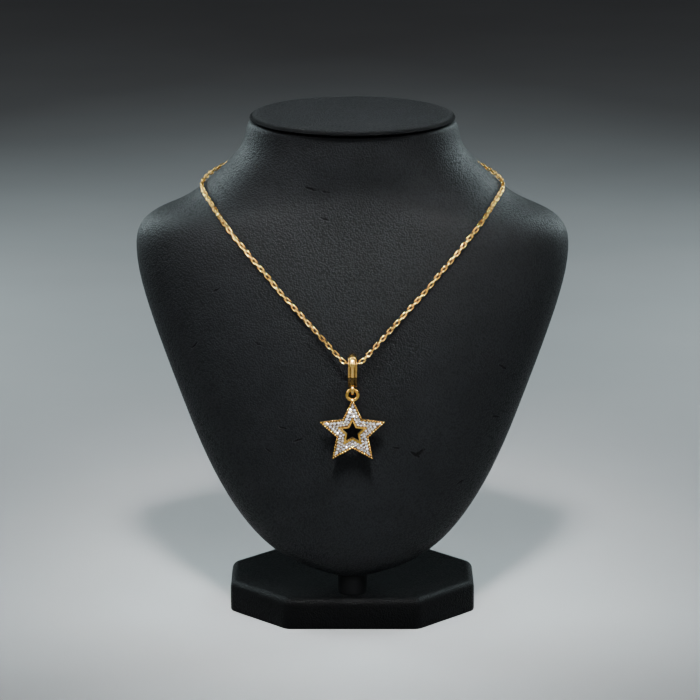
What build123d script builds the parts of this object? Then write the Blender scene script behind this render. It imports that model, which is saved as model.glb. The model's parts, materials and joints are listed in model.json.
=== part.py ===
from build123d import *
from collections import namedtuple
import math
import os

# Star pendant on a link chain, worn by a covered neck bust on its stand.
# Millimetres, +Z up, the wearer's front towards -Y.
# The origin is the middle of the base's underside.

# Base and post
BASE_WIDTH = 123.6
BASE_DEPTH = 90.0
BASE_HEIGHT = 16.1
BASE_CORNER = 28.5
BASE_EDGE = 2.2
POST_DIAMETER = 15.0
POST_SETBACK = -32.0
SOCKET_DEPTH = 14.0
SOCKET_FIT = 0.15
POST_CHAMFER = 0.5

# Neck bust
BUST_FOOT = 25.5
BUST_HEIGHT = 224.5
BUST_WIDTH = 215.0
BUST_REACH = 60.0
NECK_EDGE = 1.0

# Oval lid on the neck
CAP_WIDTH = 101.7
CAP_DEPTH = 96.0
CAP_THICKNESS = 3.0
CAP_GAP = 1.0
CAP_GAP_INSET = 5.0
CAP_EDGE = 1.2
CAP_SETBACK = 2.0

# Oval chain links, bent from round wire
LINK_LENGTH = 4.0
LINK_WIDTH = 2.4
LINK_WIRE = 0.62
LINK_GAP = 0.26
CHAIN_LIFT = 1.6
CHAIN_BEND = 8.0

# Clasp at the back of the neck
CLASP_SHORTEST = 6.0
CLASP_HEIGHT = 3.2
CLASP_THICKNESS = 1.2
CLASP_SOFTENING = 0.4
CLASP_EYE = 1.05
CLASP_WIRE = 0.62

# Bail, a ribbed band that hangs on the chain
BAIL_REACH = 7.6
BAIL_WIDTH = 4.4
BAIL_WALL = 1.7
BAIL_BORE = 2.4
BAIL_HEADROOM = 1.8
BAIL_STRAIGHT = 5.15
BAIL_TAPER = 5.75
BAIL_TIP = 1.1
BAIL_SOFTENING = 0.5
FLANGE_WIDTH = 1.1
FLANGE_HEIGHT = 0.25
RIB_WIDTH = 1.3
RIB_HEIGHT = 0.12
BEAD_RADIUS = 1.85
BEAD_TURN = 140.0

# Ring soldered edge-on under the bail
FOOT_WIRE = 1.6
FOOT_CLEAR = 0.2
HANG_GAP = 0.18

# Star plate and its hanging ring
STAR_POINTS = 5
STAR_RADIUS = 17.0
STAR_NOTCH = 8.25
PLATE_THICKNESS = 1.5
PLATE_BACK = 0.9
STAR_RING = 2.63
STAR_WIRE = 1.74
STAR_DROP = 18.7

# How far the star's inner outlines lie in from its nominal edge
PLATE_INSET = 0.25
GRAIN_INSET = 0.47
RIM_INSET = 3.95
OPENING_INSET = 4.93

# Raised rim of the opening
RIM_RISE = 0.6
RIM_SOFTENING = 0.2

# Beaded border
GRAIN_RADIUS = 0.5
GRAINS_PER_EDGE = 8

# Stones, their seats and their cut
STONE_GAP = 0.11
STONE_LIFT = 0.12
SEAT_FIT = 0.11
PAVILION_SHARE = 0.42
SEAT_POINT = 0.01
STONE_SIDES = 8

half_width = BUST_WIDTH / 2
bust_top = BUST_FOOT + BUST_HEIGHT

# Level sections of the bust from foot to neck. The height is a share of BUST_HEIGHT,
# the width of half BUST_WIDTH, and front, edge and back are Y places in BUST_REACH.
Section = namedtuple("Section", "height width front edge back")
BUST_SECTIONS = [
    Section(0.000, 0.079, -0.647, -0.550, -0.450),
    Section(0.011, 0.163, -0.692, -0.550, -0.375),
    Section(0.038, 0.296, -0.760, -0.542, -0.300),
    Section(0.082, 0.420, -0.833, -0.525, -0.233),
    Section(0.154, 0.545, -0.908, -0.483, -0.150),
    Section(0.261, 0.672, -0.977, -0.408, -0.033),
    Section(0.385, 0.781, -1.010, -0.317, 0.100),
    Section(0.510, 0.880, -1.000, -0.233, 0.250),
    Section(0.621, 0.960, -0.942, -0.150, 0.400),
    Section(0.728, 1.000, -0.847, -0.067, 0.567),
    Section(0.768, 0.982, -0.803, -0.033, 0.633),
    Section(0.797, 0.916, -0.772, 0.000, 0.675),
    Section(0.820, 0.800, -0.750, 0.017, 0.708),
    Section(0.853, 0.693, -0.720, 0.033, 0.750),
    Section(0.902, 0.584, -0.705, 0.033, 0.783),
    Section(0.955, 0.500, -0.717, 0.033, 0.800),
    Section(1.000, 0.468, -0.742, 0.033, 0.800),
]

# Where the chain lies on the bust, from the chest round to the nape. The turn is in
# degrees about the bust's upright axis from its front, the height a share of BUST_HEIGHT.
Stop = namedtuple("Stop", "turn height")
PENDANT_HEIGHT = 0.526
CHAIN_STOPS = [
    Stop(33.8, 0.667),
    Stop(39.8, 0.699),
    Stop(45.3, 0.727),
    Stop(50.2, 0.753),
    Stop(55.1, 0.778),
    Stop(60.1, 0.800),
    Stop(66.0, 0.818),
    Stop(71.5, 0.832),
    Stop(78.5, 0.845),
    Stop(85.4, 0.853),
    Stop(95.0, 0.864),
    Stop(107.0, 0.879),
    Stop(119.0, 0.893),
    Stop(131.0, 0.905),
    Stop(143.0, 0.915),
    Stop(155.0, 0.922),
    Stop(167.0, 0.927),
    Stop(180.0, 0.929),
]

# Outline of a cut stone, from the culet up to the table. The height is a share of the
# stone's diameter, counted from its girdle, and the width is one too.
Level = namedtuple("Level", "height width")
STONE_LEVELS = [
    Level(-PAVILION_SHARE, 0.06),
    Level(0.00, 1.00),
    Level(0.03, 1.00),
    Level(0.19, 0.56),
]

# Rows of stone seats: how far in the row lies, the stones' diameter, and the steps from
# the pair next to a tip's stone to the stone in the notch.
Row = namedtuple("Row", "inset stone steps")
OUTER_ROW = Row(1.790, 1.50, 4)
INNER_ROW = Row(3.265, 1.25, 3)


def height_on_bust(share):
    """Height above the table of a share of the bust's height."""
    return BUST_FOOT + share * BUST_HEIGHT


def inset_corners(inset):
    """Corners of the star whose edges lie further in by the inset, the first at its top."""
    turn = math.pi / STAR_POINTS
    tip_lean = math.atan2(
        STAR_NOTCH * math.sin(turn),
        STAR_RADIUS - STAR_NOTCH * math.cos(turn),
    )
    tip = STAR_RADIUS - inset / math.sin(tip_lean)
    notch = STAR_NOTCH - inset / math.sin(tip_lean + turn)
    corners = []
    for corner in range(2 * STAR_POINTS):
        angle = math.pi / 2 + turn * corner
        radius = notch if corner % 2 else tip
        corners.append(Vector(radius * math.cos(angle), radius * math.sin(angle)))
    return corners


# Neck bust with the post's socket
with BuildPart() as bust:
    for section in BUST_SECTIONS:
        with BuildSketch(Plane.XY.offset(height_on_bust(section.height))):
            with BuildLine():
                middle = (0, section.edge * BUST_REACH)
                across = section.width * half_width
                forward = (section.edge - section.front) * BUST_REACH
                backward = (section.back - section.edge) * BUST_REACH
                EllipticalCenterArc(middle, across, forward, 180, arc_size=180)
                EllipticalCenterArc(middle, across, backward, 0, arc_size=180)
            make_face()
    loft()
    fillet(bust.edges().group_by(Axis.Z)[-1], NECK_EDGE)
    with BuildSketch(Plane.XY.offset(BUST_FOOT)):
        with Locations((0, POST_SETBACK)):
            Circle(POST_DIAMETER / 2 + SOCKET_FIT)
    extrude(amount=SOCKET_DEPTH, mode=Mode.SUBTRACT)

# Oval lid, held off the neck by a smaller oval
with BuildPart() as neck_cap:
    with BuildSketch(Plane.XY.offset(bust_top + CAP_GAP)):
        with Locations((0, CAP_SETBACK)):
            Ellipse(CAP_WIDTH / 2, CAP_DEPTH / 2)
    extrude(amount=CAP_THICKNESS)
    fillet(neck_cap.edges(), CAP_EDGE)
    with BuildSketch(Plane.XY.offset(bust_top)):
        with Locations((0, CAP_SETBACK)):
            Ellipse(CAP_WIDTH / 2 - CAP_GAP_INSET, CAP_DEPTH / 2 - CAP_GAP_INSET)
    extrude(amount=CAP_GAP + CAP_EDGE)

# Eight-sided base
with BuildPart() as base:
    with BuildSketch() as footprint:
        Rectangle(BASE_WIDTH, BASE_DEPTH)
        chamfer(footprint.vertices(), BASE_CORNER)
    extrude(amount=BASE_HEIGHT)
    fillet(base.edges().filter_by(Axis.Z), BASE_EDGE)
    fillet(base.edges().group_by(Axis.Z)[-1], BASE_EDGE)

# Post from the base up into the bust
with BuildPart() as post:
    with BuildSketch(Plane.XY.offset(BASE_HEIGHT)):
        with Locations((0, POST_SETBACK)):
            Circle(POST_DIAMETER / 2)
    extrude(amount=BUST_FOOT + SOCKET_DEPTH - BASE_HEIGHT)
    chamfer(post.edges().group_by(Axis.Z)[-1], POST_CHAMFER)

# The chain's half route from the bail to the nape
bust_skin = bust.part.shells()[0]


def on_bust(away, height):
    """Place and outward normal where a level ray from the bust's axis leaves it."""
    hits = bust_skin.find_intersection_points(Axis((0, 0, height), away))
    return max(hits, key=lambda hit: hit[0].dot(away))


def above_bust(stop):
    """Place of the chain's middle line over one of its stops."""
    turn = math.radians(stop.turn)
    away = Vector(math.sin(turn), -math.cos(turn), 0)
    place, normal = on_bust(away, height_on_bust(stop.height))
    return place + normal * CHAIN_LIFT


chest = on_bust(Vector(0, -1, 0), height_on_bust(PENDANT_HEIGHT))[0]
pivot = Vector(0, chest.Y - BAIL_REACH, chest.Z)
lying = [above_bust(stop) for stop in CHAIN_STOPS]

# From the bend in the bail a straight stretch runs up to the first stop
across = lying[0].X
climb = Vector(0, lying[0].Y - pivot.Y, lying[0].Z - pivot.Z)
rest = climb.length - CHAIN_BEND
bend = math.atan2(rest, across) + math.asin(CHAIN_BEND / math.hypot(rest, across))


def on_bend(turn):
    """Place on the chain's bend in the bail, turned away from level."""
    aside = Vector(CHAIN_BEND * math.sin(turn), 0, 0)
    return pivot + aside + climb.normalized() * CHAIN_BEND * (1 - math.cos(turn))


with BuildLine() as half_route:
    ThreePointArc(pivot, on_bend(bend / 2), on_bend(bend))
    Line(on_bend(bend), lying[0])
    Spline(*lying, tangents=[lying[0] - on_bend(bend), (-1, 0, 0)])
route = half_route.wires()[0]

# An odd number of links a side, so that both end links stand up in the clasp's eyes
link_pitch = LINK_LENGTH - 2 * LINK_WIRE - LINK_GAP
eye_reach = LINK_LENGTH / 2 - LINK_WIRE - LINK_GAP + CLASP_EYE - CLASP_WIRE / 2
room = (route.length - CLASP_SHORTEST - eye_reach) / link_pitch
links_a_side = 2 * math.floor((room - 1) / 2) + 1
eye_along = links_a_side * link_pitch + eye_reach


def link_place(step):
    """Where a link lies, counted from the bail. Every other link is a quarter turned."""
    side = -1 if step < 0 else 1
    place = route.position_at(abs(step) * link_pitch, PositionMode.LENGTH)
    heading = route.tangent_at(abs(step) * link_pitch, PositionMode.LENGTH)
    normal = on_bust(Vector(place.X, place.Y, 0).normalized(), place.Z)[1]
    place = Vector(side * place.X, place.Y, place.Z)
    heading = Vector(heading.X, side * heading.Y, side * heading.Z)
    normal = Vector(side * normal.X, normal.Y, normal.Z)
    sideways = normal.cross(heading)
    upright = sideways if step % 2 else heading.cross(sideways)
    return Location(Plane(origin=place, x_dir=heading, z_dir=upright))


# One link
link_end = (LINK_LENGTH - LINK_WIDTH) / 2
link_side = (LINK_WIDTH - LINK_WIRE) / 2
with BuildPart() as link:
    with BuildSketch(Plane.YZ):
        with Locations((link_side, 0), (-link_side, 0)):
            Circle(LINK_WIRE / 2)
    extrude(amount=link_end, both=True)
    for side in (-1, 1):
        with BuildSketch(Plane.YZ.offset(side * link_end)):
            with Locations((-side * link_side, 0)):
                Circle(LINK_WIRE / 2)
        revolve(axis=Axis((side * link_end, 0, 0), (0, 0, 1)), revolution_arc=180)

# The whole chain
with BuildPart() as chain:
    with Locations(*[link_place(step) for step in range(-links_a_side, links_a_side + 1)]):
        add(link.part)

# Clasp, a plain bar with an eye at each end
eye = route.position_at(eye_along, PositionMode.LENGTH)
clasp_plane = Plane(origin=(0, eye.Y, eye.Z), x_dir=(1, 0, 0), z_dir=(0, 1, 0))
bar_length = 2 * (eye.X - CLASP_EYE)
with BuildPart() as clasp:
    with BuildSketch(clasp_plane):
        RectangleRounded(bar_length, CLASP_HEIGHT, CLASP_HEIGHT / 2 - CLASP_SOFTENING)
    extrude(amount=CLASP_THICKNESS / 2, both=True)
    clasp_faces = clasp.edges().group_by(Axis.Y)
    fillet(clasp_faces[0] + clasp_faces[-1], CLASP_SOFTENING)
    for side in (-1, 1):
        with Locations(Plane(origin=(side * eye.X, eye.Y, eye.Z), z_dir=(0, 1, 0))):
            Torus(CLASP_EYE, CLASP_WIRE / 2)

# Bail
bail_plane = Plane(origin=pivot, x_dir=(0, -1, 0), z_dir=(-1, 0, 0))
bail_outside = BAIL_BORE + BAIL_WALL
arc_height = BAIL_HEADROOM - BAIL_BORE
crease_height = arc_height - BAIL_STRAIGHT
tip_height = crease_height - BAIL_TAPER
foot_ring = (FOOT_WIRE + STAR_WIRE) / 2 + HANG_GAP
foot_height = tip_height - FOOT_CLEAR - foot_ring + FOOT_WIRE / 2


def bail_outline(growth):
    """Side view of the bail's band, grown outwards."""
    corner = bail_outside - BAIL_SOFTENING
    with BuildSketch() as outline:
        with Locations((0, arc_height)):
            Circle(bail_outside + growth)
        with Locations((-corner, crease_height), (corner, crease_height)):
            Circle(BAIL_SOFTENING + growth)
        with Locations((0, tip_height + BAIL_TIP)):
            Circle(BAIL_TIP + growth)
        make_hull()
    return outline.sketch


band_outline = bail_outline(0)
with BuildSketch() as opening:
    offset(band_outline, amount=-BAIL_WALL)
lean = math.radians(BEAD_TURN / 2)
arc_centre = pivot + Vector(0, 0, arc_height)
bead_plane = Plane(origin=arc_centre, x_dir=(1, 0, 0), z_dir=(0, -math.cos(lean), math.sin(lean)))
foot_centre = pivot + Vector(0, 0, foot_height)

with BuildPart() as bail:
    with BuildSketch(bail_plane):
        add(band_outline)
    extrude(amount=BAIL_WIDTH / 2, both=True)
    with BuildSketch(bail_plane):
        add(bail_outline(RIB_HEIGHT))
    extrude(amount=RIB_WIDTH / 2, both=True)
    for side in (-1, 1):
        with BuildSketch(bail_plane.offset(side * (BAIL_WIDTH / 2 - FLANGE_WIDTH))):
            add(bail_outline(FLANGE_HEIGHT))
        extrude(amount=side * FLANGE_WIDTH)
    with BuildSketch(bead_plane):
        with Locations((0, bail_outside)):
            Circle(BEAD_RADIUS)
    revolve(axis=Axis(arc_centre, (1, 0, 0)), revolution_arc=BEAD_TURN)
    for side in (-1, 1):
        with Locations(arc_centre + Vector(0, side * math.sin(lean), math.cos(lean)) * bail_outside):
            Sphere(BEAD_RADIUS)
    with BuildSketch(bail_plane):
        add(opening.sketch)
    extrude(amount=BAIL_WIDTH, both=True, mode=Mode.SUBTRACT)
    with Locations(Plane(origin=foot_centre, z_dir=(1, 0, 0))):
        Torus(foot_ring, FOOT_WIRE / 2)

# Star plate with its hanging ring, rim, beaded border and seats
star_centre = foot_centre - Vector(0, 0, STAR_RING + STAR_DROP)
star_plane = Plane(origin=star_centre, x_dir=(1, 0, 0), z_dir=(0, -1, 0))
plate_front = PLATE_THICKNESS - PLATE_BACK
face_plane = star_plane.offset(plate_front)


def grain_places():
    """Middles of the border's beads, evenly spaced along each edge."""
    corners = inset_corners(GRAIN_INSET)
    places = []
    for start, end in zip(corners, corners[1:] + corners[:1]):
        for step in range(GRAINS_PER_EDGE):
            places.append(start + (end - start) * (step / GRAINS_PER_EDGE))
    return places


def stone_places(row):
    """Middles of a row's stones. The pair next to a tip's stone is kept apart first."""
    corners = inset_corners(row.inset)
    places = []
    for corner in range(0, 2 * STAR_POINTS, 2):
        tip = corners[corner]
        places.append(tip)
        places.append(corners[corner + 1])
        for notch in (corners[corner - 1], corners[corner + 1]):
            edge = notch - tip
            spread = math.sin(math.radians(edge.get_angle(tip * -1)))
            first = (row.stone + STONE_GAP) / 2 / spread / edge.length
            for step in range(row.steps):
                share = first + (1 - first) * step / row.steps
                places.append(tip + edge * share)
    return places


with BuildPart() as star_setting:
    with BuildSketch(star_plane.offset(-PLATE_BACK)):
        Polygon(*[(p.X, p.Y) for p in inset_corners(PLATE_INSET)], align=None)
    extrude(amount=PLATE_THICKNESS)
    with BuildSketch(face_plane):
        Polygon(*[(p.X, p.Y) for p in inset_corners(RIM_INSET)], align=None)
    extrude(amount=RIM_RISE)
    with BuildSketch(star_plane.offset(-PLATE_BACK)):
        Polygon(*[(p.X, p.Y) for p in inset_corners(OPENING_INSET)], align=None)
    extrude(amount=PLATE_THICKNESS + RIM_RISE, mode=Mode.SUBTRACT)
    chamfer(star_setting.edges().group_by(Axis.Y)[0], RIM_SOFTENING)
    with Locations(face_plane):
        with Locations(*grain_places()):
            Sphere(GRAIN_RADIUS)
    with Locations(Plane(origin=star_centre + Vector(0, 0, STAR_DROP), z_dir=(0, -1, 0))):
        Torus(STAR_RING, STAR_WIRE / 2)
    for row in (OUTER_ROW, INNER_ROW):
        pavilion = PAVILION_SHARE * row.stone
        sunk = pavilion - STONE_LIFT
        seat_top = row.stone / 2 * sunk / pavilion + SEAT_FIT
        seat_depth = sunk + SEAT_FIT
        drilled = (Align.CENTER, Align.CENTER, Align.MAX)
        with Locations(face_plane):
            with Locations(*stone_places(row)):
                Cone(SEAT_POINT, seat_top, seat_depth, align=drilled, mode=Mode.SUBTRACT)


def cut_stone(across):
    """A round stone with a flat table and eight facets above and below its girdle."""
    with BuildPart() as stone:
        for level in STONE_LEVELS:
            with BuildSketch(Plane.XY.offset(level.height * across)):
                RegularPolygon(level.width * across / 2, STONE_SIDES)
        loft(ruled=True)
    return stone.part


# The outer row's stones in their seats
with BuildPart() as stones:
    with Locations(face_plane.offset(STONE_LIFT)):
        with Locations(*stone_places(OUTER_ROW)):
            add(cut_stone(OUTER_ROW.stone))

bust.part.label = "bust"
neck_cap.part.label = "neck_cap"
base.part.label = "base"
post.part.label = "post"
chain.part.label = "chain"
clasp.part.label = "clasp"
bail.part.label = "bail"
star_setting.part.label = "star_setting"
stones.part.label = "stones"

os.makedirs("parts", exist_ok=True)
export_step(bust.part, "parts/bust.step")
export_step(neck_cap.part, "parts/neck_cap.step")
export_step(base.part, "parts/base.step")
export_step(post.part, "parts/post.step")
export_step(chain.part, "parts/chain.step")
export_step(clasp.part, "parts/clasp.step")
export_step(bail.part, "parts/bail.step")
export_step(star_setting.part, "parts/star_setting.step")
export_step(stones.part, "parts/stones.step")
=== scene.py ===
# %% [markdown]
# A star pendant set with small stones hangs on a gold chain round a covered neck bust.
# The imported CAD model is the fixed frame: it gives every piece its place and its size.
# Its metal and its bust are good solids, but plain ones. This lesson models each piece
# again in finer meshes over them, and then gives every surface a finish of its own.

# %% Load the frame
import json
import math
import random
import bmesh
import bpy
from mathutils import Matrix, Vector


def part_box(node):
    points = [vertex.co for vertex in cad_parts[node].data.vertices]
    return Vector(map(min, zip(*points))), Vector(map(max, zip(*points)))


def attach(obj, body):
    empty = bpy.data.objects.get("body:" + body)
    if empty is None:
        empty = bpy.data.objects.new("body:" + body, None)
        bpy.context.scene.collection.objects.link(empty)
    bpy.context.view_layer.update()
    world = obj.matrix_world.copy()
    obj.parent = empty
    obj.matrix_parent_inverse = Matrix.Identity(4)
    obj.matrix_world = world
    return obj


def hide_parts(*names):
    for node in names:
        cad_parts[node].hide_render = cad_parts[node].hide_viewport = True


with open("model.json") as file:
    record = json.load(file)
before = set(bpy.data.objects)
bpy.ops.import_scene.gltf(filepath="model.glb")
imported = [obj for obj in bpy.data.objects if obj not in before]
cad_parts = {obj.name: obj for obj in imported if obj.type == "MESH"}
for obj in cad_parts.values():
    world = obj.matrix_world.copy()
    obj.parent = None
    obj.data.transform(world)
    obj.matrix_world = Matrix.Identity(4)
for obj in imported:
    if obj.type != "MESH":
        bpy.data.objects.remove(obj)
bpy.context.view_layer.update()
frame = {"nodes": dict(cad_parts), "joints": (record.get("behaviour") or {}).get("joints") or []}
scene = bpy.context.scene
bpy.ops.object.select_all(action="DESELECT")

# %% [markdown]
# Most pieces here are made in the same four moves: add a primitive, enter edit mode,
# pick some faces or edges by their place, and run an operator on them. A few short
# helpers keep those moves readable. Places are in metres, as everywhere in the scene.

# %% Helpers for edit mode
MM = 0.001
NEAR = 1e-6


def select_only(piece):
    bpy.ops.object.select_all(action="DESELECT")
    piece.select_set(True)
    bpy.context.view_layer.objects.active = piece


def start_editing(piece):
    """Edit mode on one piece, with nothing picked."""
    select_only(piece)
    bpy.ops.object.mode_set(mode="EDIT")
    bpy.ops.mesh.select_mode(type="VERT")
    bpy.ops.mesh.select_all(action="DESELECT")


def stop_editing():
    bpy.ops.object.mode_set(mode="OBJECT")


def pick(piece, kind, wanted):
    """Picks the vertices, edges or faces whose element passes the test."""
    bpy.ops.mesh.select_mode(type=kind)
    bpy.ops.mesh.select_all(action="DESELECT")
    mesh = bmesh.from_edit_mesh(piece.data)
    elements = {"VERT": mesh.verts, "EDGE": mesh.edges, "FACE": mesh.faces}[kind]
    for element in elements:
        element.select_set(bool(wanted(element)))
    mesh.select_flush_mode()
    bmesh.update_edit_mesh(piece.data)
    return sum(element.select for element in elements)


def all_at(height):
    """A test for pick: is every corner of an edge or a face at this height?"""
    return lambda element: all(abs(v.co.z - height) < NEAR for v in element.verts)


def extrude(step):
    """Extrudes what is picked and moves it by this step."""
    bpy.ops.mesh.extrude_region_move(TRANSFORM_OT_translate={"value": step})


def extrude_edges(step):
    """Extrudes the picked edges, without faces between them, and moves them by this step."""
    bpy.ops.mesh.extrude_edges_move(TRANSFORM_OT_translate={"value": step})


# %% [markdown]
# A new primitive keeps its place apart from its mesh. Moving the place into the mesh
# right away leaves every piece in the one frame that it shares with the CAD model.
# Modifiers are applied at once, too, so the next step works on the real mesh.

# %% Helpers for whole pieces


def place_in_mesh(piece):
    """Moves the object's own place, turn and scale into its mesh."""
    select_only(piece)
    bpy.ops.object.transform_apply(location=True, rotation=True, scale=True)


def just_added(name=None):
    """The primitive that was added last, with its place moved into its mesh."""
    piece = bpy.context.active_object
    if name:
        piece.name = name
    place_in_mesh(piece)
    return piece


def add_ring(segments, wire_segments, radius, wire, place=(0, 0, 0), turn=(0, 0, 0)):
    """A ring of round wire, by the radius of its middle line and the wire's thickness."""
    bpy.ops.mesh.primitive_torus_add(major_segments=segments, minor_segments=wire_segments,
                                     major_radius=radius, minor_radius=wire / 2,
                                     location=place, rotation=turn)
    return just_added()


def finish_with(piece, name, kind, **settings):
    """Adds a modifier with these settings and applies it."""
    modifier = piece.modifiers.new(name, kind)
    for setting, value in settings.items():
        setattr(modifier, setting, value)
    select_only(piece)
    bpy.ops.object.modifier_apply(modifier=modifier.name)


def smooth_below(degrees):
    """Smooth shading across the edges that bend by less than this."""
    bpy.ops.object.shade_smooth_by_angle(angle=math.radians(degrees))


def triangles(piece):
    return sum(len(face.vertices) - 2 for face in piece.data.polygons)


def in_mm(lengths):
    """Lengths in millimetres, rounded for printing."""
    return [round(length / MM, 2) for length in lengths]


# %% Middles and sizes of the CAD pieces


def middle(node):
    """Centre and size of the box round a CAD piece."""
    low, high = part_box(node)
    return (low + high) / 2, high - low


for node in sorted(frame["nodes"]):
    centre, size = middle(node)
    print(node, "centre", in_mm(centre), "size", in_mm(size))

# %% [markdown]
# The camera stands where the picture was taken from: 1.6 m in front of the bust and
# 0.3 m above its top, looking down by 15 degrees. A long lens keeps the sides of the
# bust from spreading, as the picture shows. The lens follows from the bust's width.

# %% Camera
CAMERA_PLACE = (-0.0012, -1.600, 0.560)
SENSOR_WIDTH = 36.0
LENS = 169.4
LOOK_DOWN = 0.261
camera_data = bpy.data.cameras.new("camera")
camera_data.sensor_width = SENSOR_WIDTH
camera_data.lens = LENS
camera = bpy.data.objects.new("camera", camera_data)
camera.location = CAMERA_PLACE
camera.rotation_euler = (math.radians(90) - LOOK_DOWN, 0, 0)
scene.collection.objects.link(camera)
scene.camera = camera
print("lens", LENS, "mm, looking down", round(math.degrees(LOOK_DOWN), 1), "degrees")

# %% [markdown]
# The floor is a plain sheet, large enough to fill the picture behind the bust. It is
# part of the set and not of the object.

# %% Floor
FLOOR_SIZE = 8.0
bpy.ops.mesh.primitive_plane_add(size=FLOOR_SIZE, location=(0, 0, 0))
floor = just_added("floor")

# %% [markdown]
# A studio for dark leather and gold needs large soft lamps, because both show mainly
# what they mirror. A small key lamp high in front throws the star's shadow down the
# chest, and four wide ones give the metal its broad highlights. One lights the paper
# in front, which the upright faces of the metal mirror. Two cool ones stand behind the
# sides and draw the bright rims along the neck, one behind gives the lid its sheen, and
# two narrow ones run a light along the edges of the base.

# %% Lights


def soft_lamp(name, place, target, width, height, power, tint, spread=180):
    """A rectangular area lamp that faces its target, with a grid that narrows its spread."""
    data = bpy.data.lights.new(name, "AREA")
    data.shape = "RECTANGLE"
    data.size = width
    data.size_y = height
    data.energy = power
    data.color = tint
    data.spread = math.radians(spread)
    lamp = bpy.data.objects.new(name, data)
    lamp.location = place
    lamp.rotation_euler = (Vector(target) - Vector(place)).to_track_quat("-Z", "Y").to_euler()
    scene.collection.objects.link(lamp)


CHEST = (0, -0.06, 0.14)
ABOVE_STAR = (0, -0.06, 0.155)
PENDANT = (0, -0.065, 0.095)
NECK = (0, 0, 0.21)
CAP = (0, 0, 0.25)
PAPER_IN_FRONT = (0.0, -0.58, 0.0)
BASE_LEFT = (-0.04, -0.03, 0.015)
BASE_RIGHT = (0.04, -0.03, 0.015)
WHITE = (0.98, 0.99, 1.0)
COOL = (0.80, 0.97, 1.0)
STUDIO_TINT = (0.80, 0.86, 0.92, 1)
STUDIO_LIGHT = 0.05
# Name, place, target, width and height of the lamp, power, tint and spread
soft_lamp("key_lamp", (0.0, -0.78, 1.19), ABOVE_STAR, 0.17, 0.17, 0.82, WHITE, 20)
soft_lamp("top_lamp", (0.0, -0.15, 1.15), PENDANT, 0.12, 0.45, 0.05, WHITE, 60)
soft_lamp("back_lamp", (0.0, 0.80, 1.05), CAP, 0.7, 0.25, 0.09, COOL, 60)
soft_lamp("front_lamp", (0.0, -1.35, 0.90), CHEST, 0.4, 0.5, 3.3, WHITE)
soft_lamp("left_lamp", (-0.97, -0.62, 0.82), CHEST, 0.3, 0.8, 7.0, WHITE)
soft_lamp("right_lamp", (0.97, -0.62, 0.82), CHEST, 0.3, 0.8, 7.0, WHITE)
soft_lamp("paper_lamp", (0.0, -0.75, 0.90), PAPER_IN_FRONT, 0.15, 0.15, 0.55, WHITE, 28)
soft_lamp("left_rim_lamp", (-0.68, 0.63, 0.56), NECK, 0.25, 0.6, 9.0, COOL)
soft_lamp("left_low_lamp", (-0.72, 0.26, 0.70), BASE_LEFT, 0.2, 0.2, 0.12, COOL, 16)
soft_lamp("right_low_lamp", (0.72, 0.26, 0.70), BASE_RIGHT, 0.2, 0.2, 0.12, COOL, 16)
soft_lamp("right_rim_lamp", (0.68, 0.63, 0.56), NECK, 0.25, 0.6, 9.0, COOL)
studio = bpy.data.worlds.new("studio")
scene.world = studio
studio.use_nodes = True
background = studio.node_tree.nodes["Background"]
background.inputs["Color"].default_value = STUDIO_TINT
background.inputs["Strength"].default_value = STUDIO_LIGHT
print("eleven soft lamps and a dim studio")

# %% [markdown]
# Materials are built from nodes on Object coordinates, so a pattern keeps its real size
# wherever the piece lies. The helper below adds a node, sets its numbers and links it,
# which keeps each recipe to a few readable lines.

# %% Helpers for materials


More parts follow.
